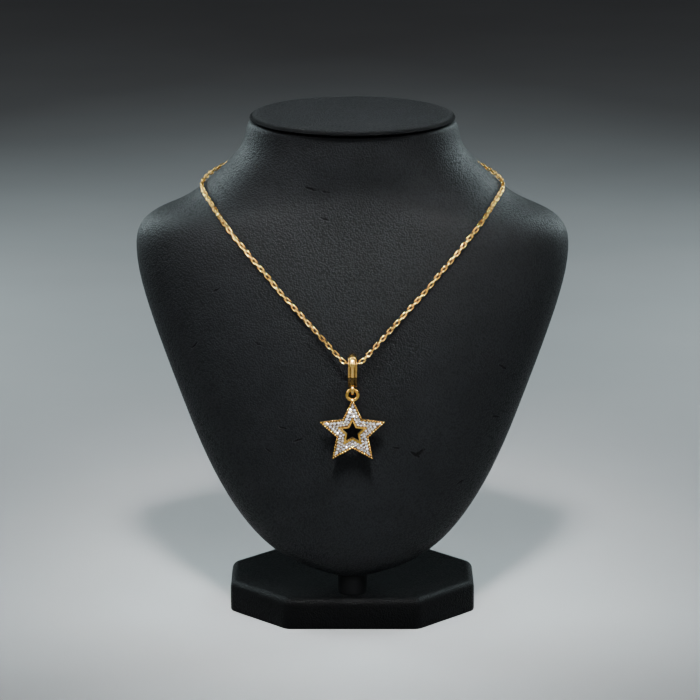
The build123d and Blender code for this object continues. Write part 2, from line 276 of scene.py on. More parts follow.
class Recipe:
    """A new material with its nodes, and short calls that add to it."""

    def __init__(self, name):
        self.material = bpy.data.materials.new(name)
        self.material.use_nodes = True
        self.tree = self.material.node_tree
        self.shader = self.tree.nodes["Principled BSDF"]
        self.place = self.add("ShaderNodeTexCoord").outputs["Object"]

    def plug(self, source, socket):
        """Links a source to a socket, or writes a plain value into it."""
        if isinstance(source, bpy.types.NodeSocket):
            self.tree.links.new(source, socket)
        else:
            socket.default_value = source

    def add(self, kind, links=(), **settings):
        node = self.tree.nodes.new(kind)
        for setting, value in settings.items():
            setattr(node, setting, value)
        for socket, source in dict(links).items():
            self.plug(source, node.inputs[socket])
        return node

    def set(self, **numbers):
        for socket, value in numbers.items():
            self.shader.inputs[socket.replace("_", " ")].default_value = value

    def link(self, source, socket):
        self.tree.links.new(source, self.shader.inputs[socket])

    def noise(self, scale, detail=2.0, roughness=0.5, place=None, distortion=0.0):
        node = self.add("ShaderNodeTexNoise", {"Scale": scale, "Detail": detail, "Roughness": roughness,
                                               "Distortion": distortion, "Vector": place or self.place})
        return node.outputs["Fac"]

    def ramp(self, source, stops):
        """Turns a value into a colour, by stops of a position and a colour each."""
        node = self.add("ShaderNodeValToRGB", {"Fac": source})
        while len(node.color_ramp.elements) < len(stops):
            node.color_ramp.elements.new(0.5)
        for element, (position, value) in zip(node.color_ramp.elements, stops):
            element.position = position
            element.color = value if len(value) == 4 else (*value, 1)
        return node.outputs["Color"]

    def levels(self, source, low, high, to_low, to_high):
        """Spreads a value between two levels over another range."""
        node = self.add("ShaderNodeMapRange", {"Value": source, "From Min": low, "From Max": high,
                                               "To Min": to_low, "To Max": to_high})
        return node.outputs["Result"]

    def between(self, source, low, high, soft):
        """1 between two levels and 0 beyond them, with soft steps."""
        return self.sums("MULTIPLY", self.levels(source, low, low + soft, 0.0, 1.0),
                         self.levels(source, high - soft, high, 1.0, 0.0))

    def sums(self, operation, first, second):
        """The result of a Math node with two values."""
        node = self.add("ShaderNodeMath", operation=operation)
        for socket, source in zip(node.inputs, (first, second)):
            self.plug(source, socket)
        return node.outputs[0]

    def axes(self):
        """Across, depth and height of a point, as three sockets."""
        return self.add("ShaderNodeSeparateXYZ", {"Vector": self.place}).outputs

    def stretched(self, scale):
        return self.add("ShaderNodeMapping", {"Vector": self.place, "Scale": scale}).outputs["Vector"]

    def shaken(self, scale, detail, reach):
        """The place of a point moved about by noise, which frays what is drawn there."""
        noise = self.add("ShaderNodeTexNoise", {"Vector": self.place, "Scale": scale, "Detail": detail})
        shift = self.add("ShaderNodeVectorMath", {0: noise.outputs["Color"], 1: (reach,) * 3},
                         operation="MULTIPLY")
        moved = self.add("ShaderNodeVectorMath", {0: self.place, 1: shift.outputs[0]}, operation="ADD")
        return moved.outputs[0]

    def blend_colors(self, factor, first, second):
        node = self.add("ShaderNodeMix", data_type="RGBA")
        colours = [s for s in node.inputs if s.type == "RGBA"]
        for socket, source in zip((node.inputs["Factor"], *colours), (factor, first, second)):
            self.plug(source, socket)
        return next(s for s in node.outputs if s.type == "RGBA")

    def bump(self, height, strength, distance):
        links = {"Height": height, "Strength": strength, "Distance": distance}
        return self.add("ShaderNodeBump", links).outputs["Normal"]


def shade(tint, share):
    """A darker or lighter shade of a tint."""
    return (*[share * c for c in tint], 1)


def finish_piece(piece, body, slot, material, *nodes):
    """Gives a finished piece its material and the body that it rides on. The slot is not used."""
    piece.data.materials.clear()
    piece.data.materials.append(material)
    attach(piece, body)
    if nodes:
        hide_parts(*nodes)
    print(piece.name, "has", triangles(piece), "triangles")


# %% [markdown]
# The floor is matt paper: pale, with a faint cloudiness that keeps it from looking like
# a flat colour, and no gloss of its own.

# %% Floor paper
PAPER_TINTS = [(0.3, (0.25, 0.25, 0.255)), (0.7, (0.27, 0.27, 0.275))]
paper = Recipe("floor_paper")
paper.set(Roughness=0.85)
paper.link(paper.ramp(paper.noise(6.0, 3.0), PAPER_TINTS), "Base Color")
floor.data.materials.append(paper.material)

# %% [markdown]
# The display parts are wrapped in black leatherette: a vinyl skin with a fine pebbled
# grain, a dull satin sheen and a few short scuffs. A cell texture gives the pebbles
# and the folds between them, fine noise the pores, and broad noise an uneven tint and
# gloss. The grain is under a millimetre across, so bump is enough for it.

# %% Leatherette
GRAIN = 1150.0
PORES = 4200.0
CLOUDS = 95.0
GRAIN_DEPTH = 0.00022
PEBBLE_SHIFT = 0.0008
# Width over which the painted shade of a rolled edge fades in, and how much of the tint and the sheen it
# keeps
ROLL_WIDTH = 0.5 * MM
ROLL_SHADE_AND_SHEEN_SHARE = 0.3
# Between these depths the scuffs fade out, so that only the front of the bust has them
FRONT_ENDS = (-0.02, -0.01)


def leatherette(name, tint, sheen, scuffs=(), shaded_below=0.0):
    """A vinyl skin. Below the given height, where it rolls over an edge, it is rougher with less sheen, and
    painted shade darkens its colour.
    """
    skin = Recipe(name)
    uneven = skin.shaken(520.0, 1.0, PEBBLE_SHIFT)
    pebbles = skin.add("ShaderNodeTexVoronoi", {"Vector": uneven, "Scale": GRAIN, "Smoothness": 0.35},
                       feature="SMOOTH_F1")
    grain = skin.levels(pebbles.outputs["Distance"], 0.1, 0.75, 1.0, 0.0)
    pores = skin.noise(PORES, 3.0, 0.6)
    coarse = skin.noise(CLOUDS, 3.0, 0.55)
    height = skin.sums("ADD", skin.sums("MULTIPLY", grain, 0.8), skin.sums("MULTIPLY", pores, 0.2))
    cloudy = skin.ramp(coarse, [(0.32, shade(tint, 0.75)), (0.68, shade(tint, 1.25))])
    colour = skin.blend_colors(skin.levels(grain, 0.0, 0.6, 0.7, 0.0), cloudy, shade(tint, 0.25))
    gloss = skin.sums("ADD", skin.levels(coarse, 0.3, 0.7, 0.42, 0.50),
                      skin.levels(grain, 0.0, 0.6, 0.2, 0.0))
    if scuffs:
        in_front = skin.levels(skin.axes()[1], *FRONT_ENDS, 1.0, 0.0)
        distance = nearest_scuff(skin, scuffs)
        nick = skin.sums("MULTIPLY", skin.levels(distance, 0.7, 1.1, 1.0, 0.0), in_front)
        rim = skin.sums("MULTIPLY", skin.levels(distance, 1.0, 1.7, 0.4, 0.0), in_front)
        colour = skin.blend_colors(rim, colour, shade(tint, 1.5))
        colour = skin.blend_colors(nick, colour, shade(tint, 0.05))
        gloss = skin.sums("ADD", gloss, skin.sums("MULTIPLY", nick, 0.5))
        height = skin.sums("SUBTRACT", height, skin.sums("MULTIPLY", nick, 2.2))
    skin.set(Specular_IOR_Level=sheen)
    # Painted shade on the rolled edge: a darker colour, with more roughness and less sheen
    if shaded_below:
        shaded_roll = skin.levels(skin.axes()[2], shaded_below - ROLL_WIDTH, shaded_below, 1.0, 0.0)
        colour = skin.blend_colors(shaded_roll, colour, shade(tint, ROLL_SHADE_AND_SHEEN_SHARE))
        gloss = skin.sums("ADD", gloss, skin.sums("MULTIPLY", shaded_roll, 0.3))
        skin.link(skin.levels(shaded_roll, 0.0, 1.0, sheen, ROLL_SHADE_AND_SHEEN_SHARE * sheen), "Specular IOR Level")
    skin.link(gloss, "Roughness")
    skin.link(colour, "Base Color")
    skin.link(skin.bump(height, 0.85, GRAIN_DEPTH), "Normal")
    return skin.material


print("leatherette pebbles are about", round(1000 / GRAIN, 2), "mm across")

# %% [markdown]
# A bust that has been handled has nicks in its skin. Each one is a long oval whose
# outline is frayed by noise: dark inside, where the skin is gone, with a paler rim. They
# are painted and bumped, because a nick is far thinner than the skin.

# %% Scuffs
# Millimetres that the fray moves a point at most, and how far a scuff's rim lies out
FRAY = 1.2
SCUFF_ALONG = 0.85
SCUFF_THROUGH = 10.0
SCUFF_ACROSS = 0.8
FAR_FROM_SCUFFS = 9.0
# Across, height, length and width in mm, and tilt in degrees
BUST_SCUFFS = [(-20.6, 224.1, 3.4, 0.8, 18), (-12.8, 222.7, 2.6, 0.7, 8), (-13.8, 210.1, 2.8, 0.7, 15),
               (-66.4, 174.5, 3.0, 0.8, -30), (-45.7, 149.9, 2.6, 0.7, 25), (-77.4, 145.8, 3.0, 0.7, -50),
               (-33.9, 108.4, 2.8, 0.7, 10), (-26.6, 102.6, 3.2, 0.8, -20), (-41.4, 96.3, 2.6, 0.7, 35),
               (73.6, 135.4, 3.2, 0.8, 40), (70.7, 109.7, 2.8, 0.7, 20), (30.4, 94.9, 3.6, 1.1, 35),
               (32.9, 95.6, 3.8, 1.2, -38), (53.3, 77.6, 3.0, 0.8, -25), (21.2, 98.9, 2.6, 0.7, 12)]


def nearest_scuff(skin, scuffs):
    """Distance to the closest scuff, 1 at its rim. A scuff is (x, z, length, width, tilt)."""
    frayed_place = skin.shaken(800.0, 2.0, FRAY * MM)
    nearest = FAR_FROM_SCUFFS
    for x, z, length, width, tilt in scuffs:
        local = skin.add("ShaderNodeMapping", {
            "Vector": frayed_place,
            "Location": ((x + FRAY / 2) * MM, 0, (z + FRAY / 2) * MM),
            "Rotation": (0, math.radians(tilt), 0),
            "Scale": (SCUFF_ALONG * length * MM, SCUFF_THROUGH, SCUFF_ACROSS * width * MM),
        }, vector_type="TEXTURE")
        reach = skin.add("ShaderNodeVectorMath", {0: local.outputs["Vector"]}, operation="LENGTH")
        nearest = skin.sums("MINIMUM", reach.outputs["Value"], nearest)
    return nearest


# %% Skins of the bust, the lid and the base
# Height below which the lid's rolled edge gets painted shade
CAP_ROLLS_AT = 253.1 * MM
bust_skin = leatherette("bust_leatherette", (0.0068, 0.0074, 0.0081), 0.10, BUST_SCUFFS)
cap_skin = leatherette("cap_leatherette", (0.0088, 0.0091, 0.0098), 0.13, shaded_below=CAP_ROLLS_AT)
# The base's skin is the same leatherette in a far darker tint, as painted shade over the whole base.
base_skin = leatherette("base_leatherette", (0.0013, 0.0014, 0.0015), 0.04)
print(len(BUST_SCUFFS), "scuffs on the bust")

# %% [markdown]
# Polished yellow gold is a bare metal, so all its colour is in its reflections. Real
# polish keeps hair-fine scratches from the buffing wheel and a faint tarnish in spots.
# Stretched noise makes the scratches, and cloudy noise varies tint and roughness. Shade
# is painted brown into the turned-in foot of the bail and the grooves of its band, and
# into the ground between the stones and the beads of the star.

# %% Painted shade on the gold
PAINTED_SHADE_SHARE = 0.10
SOFT_EDGE = 0.3 * MM
RING_FLANK = (0.85 * MM, 0.95 * MM)
GROOVE_EDGE = 0.12 * MM
GROOVES_END = (4.4 * MM, 5.2 * MM)
GROOVE_SHARE = 0.75
# Before and behind the plate's face, where its painted shade begins and ends
GROUND_FRONT = (-0.30 * MM, -0.12 * MM)
GROUND_BACK = (0.6 * MM, 0.8 * MM)
GROUND_SHARE = 0.9


def bail_painted_shade(metal, foot, groove):
    """Where shade is painted on the bail: on its foot between three heights, and in its grooves."""
    across, _, height = metal.axes()
    aside = metal.sums("ABSOLUTE", across, 0)
    low, ring_top, high = foot
    beside_ring = metal.sums("MULTIPLY", metal.between(height, low, high, SOFT_EDGE),
                             metal.levels(aside, *RING_FLANK, 0.0, 1.0))
    shaded_foot = metal.sums("MAXIMUM", metal.between(height, ring_top, high, SOFT_EDGE), beside_ring)
    grooves = metal.between(aside, *groove, GROOVE_EDGE)
    below_bead = metal.levels(height, high + GROOVES_END[0], high + GROOVES_END[1], GROOVE_SHARE, 0.0)
    return metal.sums("MAXIMUM", shaded_foot, metal.sums("MULTIPLY", grooves, below_bead))


def ground_painted_shade(metal, face, top):
    """Where shade is painted on the star: near the depth of its plate's face, and below a height."""
    _, depth, height = metal.axes()
    front, front_full = (face + ahead for ahead in GROUND_FRONT)
    back_full, back = (face + behind for behind in GROUND_BACK)
    crevice = metal.sums("MULTIPLY", metal.levels(depth, front, front_full, 0.0, GROUND_SHARE),
                         metal.levels(height, top - SOFT_EDGE, top, 1.0, 0.0))
    before_back = metal.levels(depth, back_full, back, 1.0, 0.0)
    return metal.sums("MULTIPLY", crevice, before_back)


# %% Gold
DEEP_SHARES = (0.88, 0.78, 0.62)
SCRATCH_STRETCH = (900, 900, 6000)
SCRATCH_DEPTH = 0.00004


def gold(name, tint, roughness, foot=None, groove=None, ground=None):
    """Polished gold, with painted shade on a bail's foot and grooves or on a star's ground."""
    metal = Recipe(name)
    metal.set(Metallic=1.0)
    clouds = metal.noise(260.0, 3.0, 0.55)
    scratches = metal.noise(1.0, 3.0, 0.7, metal.stretched(SCRATCH_STRETCH))
    fine = metal.noise(9000.0, 2.0, 0.6)
    deep = tuple(c * f for c, f in zip(tint, DEEP_SHARES))
    colour = metal.ramp(clouds, [(0.30, deep), (0.62, tint)])
    if foot:
        # Painted shade: the bail's foot and grooves get a far darker gold
        colour = metal.blend_colors(bail_painted_shade(metal, foot, groove), colour, shade(deep, PAINTED_SHADE_SHARE))
    if ground:
        # Painted shade: the star's ground between the stones and beads gets a far darker gold
        colour = metal.blend_colors(ground_painted_shade(metal, *ground), colour, shade(deep, PAINTED_SHADE_SHARE))
    metal.link(colour, "Base Color")
    worn = metal.sums("ADD", metal.levels(clouds, 0.3, 0.7, roughness * 1.35, roughness * 0.75),
                      metal.levels(scratches, 0.45, 0.75, 0.0, 0.12))
    metal.link(worn, "Roughness")
    height = metal.sums("ADD", scratches, metal.sums("MULTIPLY", fine, 0.5))
    metal.link(metal.bump(height, 0.10, SCRATCH_DEPTH), "Normal")
    return metal.material


# %% Golds of the chain, the bail, the star and the clasp
YELLOW = (1.0, 0.655, 0.19)
# Heights of the bail's foot, of the top of its ring and of where the painted shade ends
BAIL_FOOT = (0.1314, 0.1332, 0.1382)
BAIL_GROOVE = (0.86 * MM, 1.36 * MM)
# Depth of the star's face, and the height where its hanging ring begins
STAR_GROUND = (-0.0678738, 0.1251)
chain_gold = gold("chain_gold", (0.90, 0.58, 0.155), 0.18)
bail_gold = gold("bail_gold", YELLOW, 0.20, foot=BAIL_FOOT, groove=BAIL_GROOVE)
star_gold = gold("star_gold", (0.95, 0.58, 0.12), 0.17, ground=STAR_GROUND)
clasp_gold = gold("clasp_gold", YELLOW, 0.17)
# A dark brown gold laid on the star's ground as painted shade
painted_shade_gold = gold("painted_shade_gold", (0.12, 0.065, 0.02), 0.42)
print("five gold finishes")

# %% [markdown]
# The bust is a hollow moulded form, wrapped in one stretched skin. It could be sculpted,
# but its CAD solid is a stack of level ovals, so the same is done here: one ring is
# drawn out upwards again and again, and each time it is resized, its front and its back
# half apart. Subdivision rounds it, and a shrinkwrap lays it on the CAD bust exactly.

# %% Rings of the bust
BUST_FOOT = 25.5 * MM
BUST_HEIGHT = 224.5 * MM
BUST_HALF_WIDTH = 107.5 * MM
BUST_REACH = 60.0 * MM
TOP_INSETS = (3.0 * MM, 12.0 * MM)
# Height, width, front, edge and back of each ring, as shares of the lengths above
BUST_RINGS = [
    (0.000, 0.079, -0.647, -0.550, -0.450), (0.011, 0.163, -0.692, -0.550, -0.375),
    (0.038, 0.296, -0.760, -0.542, -0.300), (0.082, 0.420, -0.833, -0.525, -0.233),
    (0.154, 0.545, -0.908, -0.483, -0.150), (0.261, 0.672, -0.977, -0.408, -0.033),
    (0.385, 0.781, -1.010, -0.317, 0.100), (0.510, 0.880, -1.000, -0.233, 0.250),
    (0.621, 0.960, -0.942, -0.150, 0.400), (0.728, 1.000, -0.847, -0.067, 0.567),
    (0.768, 0.982, -0.803, -0.033, 0.633), (0.797, 0.916, -0.772, 0.000, 0.675),
    (0.820, 0.800, -0.750, 0.017, 0.708), (0.853, 0.693, -0.720, 0.033, 0.750),
    (0.902, 0.584, -0.705, 0.033, 0.783), (0.955, 0.500, -0.717, 0.033, 0.800),
    (0.990, 0.471, -0.738, 0.033, 0.800), (1.000, 0.464, -0.734, 0.033, 0.792),
]


def ring_sizes(ring):
    """Height, half width, place of the widest line, and reach to the front and the back."""
    height, width, front, edge, back = ring
    return (BUST_FOOT + height * BUST_HEIGHT, width * BUST_HALF_WIDTH, edge * BUST_REACH,
            (edge - front) * BUST_REACH, (back - edge) * BUST_REACH)


def resize_ring(piece, height, edge, across, forward, backward):
    """Resizes the ring at this height about its widest line, front and back apart."""
    centre = (0, edge, height)

    def on_ring(vertex):
        return abs(vertex.co.z - height) < NEAR

    pick(piece, "VERT", on_ring)
    bpy.ops.transform.resize(value=(across, 1, 1), center_override=centre)
    pick(piece, "VERT", lambda v: on_ring(v) and v.co.y < edge - NEAR)
    bpy.ops.transform.resize(value=(1, forward, 1), center_override=centre)
    pick(piece, "VERT", lambda v: on_ring(v) and v.co.y > edge + NEAR)
    bpy.ops.transform.resize(value=(1, backward, 1), center_override=centre)


height, width, edge, forward, backward = ring_sizes(BUST_RINGS[0])
bpy.ops.mesh.primitive_circle_add(vertices=64, radius=1.0, fill_type="NGON")
bust_form = bpy.context.active_object
bust_form.name = "bust_form"
start_editing(bust_form)
bpy.ops.mesh.select_all(action="SELECT")
bpy.ops.transform.translate(value=(0, edge, height))
resize_ring(bust_form, height, edge, width, forward, backward)
for ring in BUST_RINGS[1:]:
    last = (height, width, edge, forward, backward)
    pick(bust_form, "EDGE", lambda e: all_at(last[0])(e) and len(e.link_faces) < 2)
    height, width, edge, forward, backward = ring_sizes(ring)
    extrude_edges((0, edge - last[2], height - last[0]))
    resize_ring(bust_form, height, edge, width / last[1], forward / last[3], backward / last[4])
pick(bust_form, "EDGE", all_at(height))
bpy.ops.mesh.edge_face_add()
for step_in in TOP_INSETS:
    bpy.ops.mesh.inset(thickness=step_in)
bpy.ops.mesh.select_all(action="SELECT")
bpy.ops.mesh.normals_make_consistent(inside=False)
stop_editing()
print("bust drawn in", len(BUST_RINGS), "rings,", len(bust_form.data.polygons), "faces")

# %% [markdown]
# Two rounds of subdivision make the skin smooth. The shrinkwrap leaves out the flat
# underside, where the CAD bust has the post's socket, and a light smoothing takes the
# CAD mesh's small flats back out. Then the socket is cut with a plain round bar.

# %% Smooth skin and the post's socket
POST_PLACE = (0, -32.0 * MM)
POST_RADIUS = 7.5 * MM
SOCKET_FIT = 0.15 * MM
SOCKET_TOP = 39.5 * MM
SOCKET_TOOL_FOOT = 15 * MM
UNDERSIDE = 4 * MM
finish_with(bust_form, "rounding", "SUBSURF", levels=2, render_levels=2)
above = bust_form.vertex_groups.new(name="above_underside")
above.add([v.index for v in bust_form.data.vertices if v.co.z > BUST_FOOT + UNDERSIDE], 1.0, "REPLACE")
finish_with(bust_form, "fit", "SHRINKWRAP", target=frame["nodes"]["bust"],
            wrap_method="NEAREST_SURFACEPOINT", vertex_group="above_underside")
finish_with(bust_form, "relax", "SMOOTH", factor=0.5, iterations=6, vertex_group="above_underside")
bust_form.vertex_groups.clear()


def cut_away(piece, tool, name="cut", operation="DIFFERENCE"):
    """Cuts a closed tool out of a piece, or joins it on, and removes the tool."""
    finish_with(piece, name, "BOOLEAN", operation=operation, object=tool, solver="EXACT")
    bpy.data.objects.remove(tool)


bpy.ops.mesh.primitive_cylinder_add(vertices=64, radius=POST_RADIUS + SOCKET_FIT,
                                    depth=SOCKET_TOP - SOCKET_TOOL_FOOT,
                                    location=(*POST_PLACE, (SOCKET_TOP + SOCKET_TOOL_FOOT) / 2))
cut_away(bust_form, just_added())
smooth_below(35)
finish_piece(bust_form, "stand", "bust_cover", bust_skin, "bust")

# %% [markdown]
# Turned and lathed forms, such as the lid and the post, are drawn as a line from the
# axis outwards and spun. The drawing helper merges a small plane into one vertex and
# extrudes it from point to point, which is how a profile is drawn by hand.

# %% Drawing and spinning a line
SAME_POINT = 0.001 * MM


def draw(name, points, closed=False):
    """A line of edges through these points, left in edit mode with all of it picked."""
    bpy.ops.mesh.primitive_plane_add(size=MM, location=points[0])
    piece = just_added(name)
    start_editing(piece)
    bpy.ops.mesh.select_all(action="SELECT")
    bpy.ops.mesh.merge(type="CENTER")
    for start, end in zip(points, points[1:]):
        extrude([b - a for a, b in zip(start, end)])
    bpy.ops.mesh.select_all(action="SELECT")
    if closed:
        pick(piece, "VERT", lambda v: len(v.link_edges) == 1)
        bpy.ops.mesh.edge_face_add()
        bpy.ops.mesh.select_all(action="SELECT")
    return piece


def merge_doubles(reach=SAME_POINT):
    """Makes one vertex of those that lie in the same place."""
    bpy.ops.mesh.select_all(action="SELECT")
    bpy.ops.mesh.remove_doubles(threshold=reach)


def close_up():
    """Merges doubles and turns every face outwards, then leaves edit mode."""
    merge_doubles()
    bpy.ops.mesh.normals_make_consistent(inside=False)
    stop_editing()


def lathe(name, profile, steps, centre):
    """Spins a profile of (radius, height) points once round an upright axis."""
    piece = draw(name, [(centre[0] + r * MM, centre[1], centre[2] + z * MM) for r, z in profile])
    bpy.ops.mesh.spin(steps=steps, angle=math.tau, center=centre, axis=(0, 0, 1))
    close_up()
    return piece


# %% [markdown]
# The lid is an oval board with its skin rolled over the edge, a touch higher in the
# middle. It stands on a smaller oval, which leaves the dark line under the lid.

# %% Lid on the neck
CAP_HALF_WIDTH = 50.85
CAP_HALF_DEPTH = 48.0
CAP_PLACE = (0, 2.0 * MM, 0)
# Radius and height in mm: over the top, round the rolled edge, and down the smaller oval
CAP_PROFILE = [
    (0, 254.0), (14, 253.98), (26, 253.92), (35, 253.82), (41, 253.69), (44.5, 253.54),
    (46.8, 253.37), (48.3, 253.14), (49.3, 252.84), (50.0, 252.46), (50.48, 252.03),
    (50.76, 251.64), (50.85, 251.38), (50.75, 251.2), (50.4, 251.11), (49.6, 251.1),
    (45.9, 251.1), (45.85, 251.05), (45.85, 250.0), (0, 250.0),
]
neck_lid = lathe("neck_lid", CAP_PROFILE, 128, CAP_PLACE)
start_editing(neck_lid)
bpy.ops.mesh.select_all(action="SELECT")
bpy.ops.transform.resize(value=(1, CAP_HALF_DEPTH / CAP_HALF_WIDTH, 1), center_override=CAP_PLACE)
stop_editing()
smooth_below(40)
finish_piece(neck_lid, "stand", "cap_cover", cap_skin, "neck_cap")

# %% [markdown]
# The base is a heavy board with cut-off corners under the same skin. It starts as a
# box: its upright edges are bevelled into corner faces, and then every edge that the
# skin is pulled over gets a soft round. Underneath, a felt sheet is set in a little.

# %% Base
BASE_SIZE = Vector((123.6, 90.0, 16.1)) * MM
BASE_CORNER = 28.5 * MM
BASE_EDGE = 2.2 * MM
ROLLED_EDGE = 4.0 * MM
UNDER_EDGE = 0.8 * MM
FELT_INSET = 2.5 * MM
FELT_BEND = 0.3 * MM
FELT_DEPTH = 0.4 * MM
TOP_BAND = 1.5 * MM
TALL = 5 * MM
MANY_CORNERS = 20
bpy.ops.mesh.primitive_cube_add(size=1, location=(0, 0, BASE_SIZE.z / 2), scale=BASE_SIZE)
foot_board = just_added("foot_board")
start_editing(foot_board)


def upright(edge):
    return abs(edge.verts[0].co.z - edge.verts[1].co.z) > TALL


def board_face(height):
    """A test for pick: is this the board's one large face at this height?"""
    return lambda face: all_at(height)(face) and len(face.verts) > MANY_CORNERS


pick(foot_board, "EDGE", upright)
bpy.ops.mesh.bevel(offset=BASE_CORNER, segments=1, affect="EDGES")
pick(foot_board, "EDGE", upright)
bpy.ops.mesh.bevel(offset=BASE_EDGE, segments=5, affect="EDGES")
pick(foot_board, "FACE", all_at(BASE_SIZE.z))
bpy.ops.mesh.region_to_loop()
bpy.ops.mesh.bevel(offset=ROLLED_EDGE, segments=7, affect="EDGES")
pick(foot_board, "FACE", all_at(0))
bpy.ops.mesh.region_to_loop()
bpy.ops.mesh.bevel(offset=UNDER_EDGE, segments=3, affect="EDGES")
pick(foot_board, "FACE", board_face(0))
bpy.ops.mesh.inset(thickness=FELT_INSET)
bpy.ops.mesh.inset(thickness=FELT_BEND)
bpy.ops.transform.translate(value=(0, 0, FELT_DEPTH))
pick(foot_board, "FACE", board_face(BASE_SIZE.z))
bpy.ops.mesh.inset(thickness=TOP_BAND)
stop_editing()
smooth_below(30)
finish_piece(foot_board, "stand", "base_cover", base_skin, "base")

# %% [markdown]
# Felt is a mat of short fibres. It has no gloss, and one noise with many fine details
# gives it both its mottled tint and its fuzz. Only the set-in faces below are felt.

# %% Felt under the base
FELT_TINTS = [(0.3, (0.012, 0.012, 0.013)), (0.7, (0.028, 0.028, 0.030))]
felt = Recipe("base_felt")
felt.set(Roughness=0.95)
fibres = felt.noise(1900.0, 4.0, 0.7, distortion=0.6)
felt.link(felt.ramp(fibres, FELT_TINTS), "Base Color")
felt.link(felt.bump(fibres, 0.6, 0.0003), "Normal")
foot_board.data.materials.append(felt.material)
for face in foot_board.data.polygons:
    if face.normal.z < -0.9 and face.center.z > FELT_DEPTH / 2:
        face.material_index = 1
print("felt faces", sum(face.material_index for face in foot_board.data.polygons))

# %% [markdown]
# The post is a turned steel rod with satin black paint. It is lathed, with a rounded
# chamfer at its top. Its paint has the fine orange peel that a spray gun leaves.

# %% Post
PAINT_TINTS = [(0.3, (0.0014, 0.0015, 0.0016)), (0.7, (0.0022, 0.0023, 0.0025))]
satin = Recipe("post_black_paint")
peel = satin.noise(900.0, 2.0, 0.5)
satin.set(Specular_IOR_Level=0.06)
satin.link(satin.ramp(satin.noise(120.0, 2.0), PAINT_TINTS), "Base Color")
satin.link(satin.levels(peel, 0.3, 0.7, 0.42, 0.54), "Roughness")
satin.link(satin.bump(peel, 0.25, 0.00006), "Normal")
# Radius and height in mm, from the foot up and over the top
POST_PROFILE = [(0, 16.1), (7.5, 16.1), (7.5, 16.2), (7.5, 38.98), (7.36, 39.3), (7.0, 39.5), (0, 39.5)]
turned_post = lathe("turned_post", POST_PROFILE, 64, (*POST_PLACE, 0))
smooth_below(35)
finish_piece(turned_post, "stand", "post_paint", satin.material, "post")

# %% [markdown]
# A cable chain is made of oval links, each a quarter turned to the last. One link is
# modelled from a torus whose halves are pulled apart, with its wire pressed a little
# flat as a drawn and polished link's is. Every link of the CAD chain is a loose solid,
# so its middle and its long and broad axes say where a copy of the fine link goes.

# %% One link
LINK_LENGTH = 4.0 * MM
LINK_WIDTH = 2.4 * MM
LINK_FACE = 0.67 * MM
LINK_THICKNESS = 0.59 * MM
HALF_BEGINS = 0.03 * MM
link = add_ring(16, 6, (LINK_WIDTH - LINK_FACE) / 2, LINK_FACE)
link.name = "link"
start_editing(link)
bpy.ops.mesh.select_all(action="SELECT")
bpy.ops.transform.resize(value=(1, 1, LINK_THICKNESS / LINK_FACE))
stretch = (LINK_LENGTH - LINK_WIDTH) / 2
for side in (-1, 1):
    pick(link, "VERT", lambda v: side * v.co.x > HALF_BEGINS)
    bpy.ops.transform.translate(value=(side * stretch, 0, 0))
stop_editing()
bpy.ops.object.shade_smooth()
print("a link has", len(link.data.polygons), "faces and is", in_mm(link.dimensions), "mm")

# %% [markdown]
# The CAD chain is one mesh of many loose links. Its faces are sorted into connected
# parts. The spread of a part's faces about its middle says how it lies: it spreads most
# along the link, less across it, and least through its thickness.

# %% Where the links lie
chain_copy = frame["nodes"]["chain"].copy()
chain_copy.data = frame["nodes"]["chain"].data.copy()
chain_copy.parent = None
scene.collection.objects.link(chain_copy)
start_editing(chain_copy)
merge_doubles(2 * SAME_POINT)
stop_editing()


def loose_parts(mesh):
    """The faces of each connected part of a mesh."""
    owner = list(range(len(mesh.vertices)))

    def head(vertex):
        while owner[vertex] != vertex:
            owner[vertex] = owner[owner[vertex]]
            vertex = owner[vertex]
        return vertex

    for face in mesh.polygons:
        first = head(face.vertices[0])
        for vertex in face.vertices[1:]:
            owner[head(vertex)] = first
    parts = {}
    for face in mesh.polygons:
        parts.setdefault(head(face.vertices[0]), []).append(face)
    return list(parts.values())


# %% Axes of a link
START_AXIS = Vector((0.57, 0.31, 0.76))
ROUNDS = 60
SQUARE_METRE = 1e6


def resting_place(faces):
    """Middle and own axes of a loose part: longest first, shortest last."""
    area = sum(face.area for face in faces)
    centre = sum((face.center * face.area for face in faces), Vector()) / area
    spread = Matrix(((0, 0, 0),) * 3)
    for face in faces:
        arm = face.center - centre
        share = [[arm[i] * arm[j] * face.area * SQUARE_METRE / area for j in range(3)] for i in range(3)]
        spread += Matrix(share)
    axes = []
    power = spread.copy()
    for _ in range(2):
        axis = START_AXIS
        for _ in range(ROUNDS):
            axis = (power @ axis).normalized()
        axes.append(axis)
        strength = axis.dot(power @ axis)
        power -= Matrix([[strength * axis[i] * axis[j] for j in range(3)] for i in range(3)])
    axes[1] = (axes[1] - axes[0] * axes[1].dot(axes[0])).normalized()
    upright_axis = axes[0].cross(axes[1])
    turn = Matrix((axes[0], axes[1], upright_axis)).transposed()
    return Matrix.Translation(centre) @ turn.to_4x4()


link_places = [resting_place(faces) for faces in loose_parts(chain_copy.data)]
bpy.data.objects.remove(chain_copy)
print(len(link_places), "links found in the CAD chain")

# %% [markdown]
# Each copy has a mesh of its own, already moved to its place, so joining the copies is
# enough to make them one piece. The same helper later lays the bits of the seats, the
# beads of the border, the prongs and the stones.

# %% Copy the link to every place


